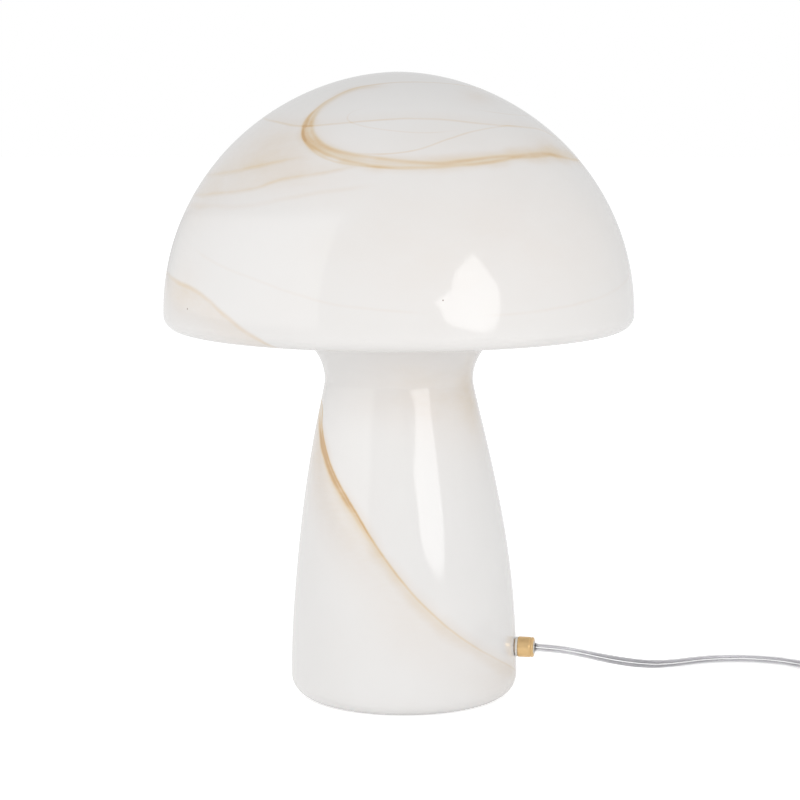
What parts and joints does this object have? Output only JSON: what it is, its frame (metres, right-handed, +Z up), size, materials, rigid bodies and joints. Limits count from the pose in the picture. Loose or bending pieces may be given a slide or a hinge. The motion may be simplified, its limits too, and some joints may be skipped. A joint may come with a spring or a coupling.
{
  "type": "mushroom table lamp",
  "caption": "Mushroom table lamp in one blown glass body, with a pull-out lampholder carrier in its foot, a bulb, a corded rocker switch and a plug.",
  "frame": {"origin": "centre of the foot on the table", "axes": "+Z up, +X to the side where the cord leaves the foot, -Y to the viewer"},
  "size_m": [0.5372, 0.3, 0.4006],
  "materials": {
    "opal_glass": "hand-blown opal glass with amber swirls, glossy",
    "brass": "turned and lacquered",
    "clear_seal": "translucent washer",
    "black_rubber": "matt",
    "zinc_steel": "zinc plated",
    "holder_plastic": "moulded, fine grain",
    "ceramic": "insulating moulding",
    "clear_cord": "clear flat twin cord with silver cores",
    "copper": "bared cores in clear sleeves",
    "bulb_opal": "satin opal",
    "bulb_plastic": "moulded",
    "bulb_metal": "bright",
    "bulb_insulator": "black glass-like insulator",
    "clear_plastic": "clear moulded plastic",
    "plug_metal": "nickel plated"
  },
  "bodies": {
    "glass": {"glass_body": "opal_glass", "gland_collar": "brass", "gland_bush": "clear_seal", "gland_seal": "clear_seal", "gland_tube": "brass", "gland_inner_seal": "black_rubber", "gland_nut": "brass", "cord_lamp_run": "clear_cord", "switch_lower_shell": "clear_plastic", "switch_upper_shell": "clear_plastic", "switch_pivot": "zinc_steel", "switch_terminals": "brass", "switch_terminal_screws": "zinc_steel", "switch_screws": "zinc_steel", "cord_switch_run": "clear_cord", "cord_coil": "clear_cord", "cord_tie": "clear_plastic", "cord_end_run": "clear_cord", "plug_strain_relief": "clear_plastic", "plug_body": "clear_plastic", "plug_pins": "plug_metal", "pin_sleeves": "clear_plastic"},
    "carrier": {"base_plate": "zinc_steel", "plate_edging": "black_rubber", "holder_bracket": "zinc_steel", "bracket_rivets": "zinc_steel", "holder_nipple": "brass", "nipple_washer": "zinc_steel", "nipple_nut": "brass", "nipple_bush": "holder_plastic", "holder_cap": "holder_plastic", "holder_grub_screw": "zinc_steel", "holder_insert": "ceramic", "terminal_screws": "zinc_steel", "centre_contact": "brass", "thread_liner": "bulb_metal", "holder_shell": "holder_plastic", "core_ends": "copper", "inner_flex": "clear_cord"},
    "bulb": {"bulb_tip": "plug_metal", "bulb_insulator": "bulb_insulator", "bulb_screw_cap": "bulb_metal", "bulb_collar": "bulb_plastic", "bulb_board": "bulb_metal", "bulb_globe": "bulb_opal"},
    "rocker": {"switch_rocker": "clear_plastic"}
  },
  "joints": [
    {"name": "carrier_slide", "type": "slide", "parent": "glass", "child": "carrier", "axis": [0, 0, -1], "range_m": [0, 0.21], "deforming": ["inner_flex"]},
    {"name": "bulb_lift", "type": "slide", "parent": "carrier", "child": "bulb", "axis": [0, 0, 1], "range_m": [0, 0.03]},
    {"name": "switch_rock", "type": "hinge", "parent": "glass", "child": "rocker", "pos_m": [0.283, -0.025, 0.0114], "axis": [1, 0, 0], "range_deg": [0, 16]}
  ]
}
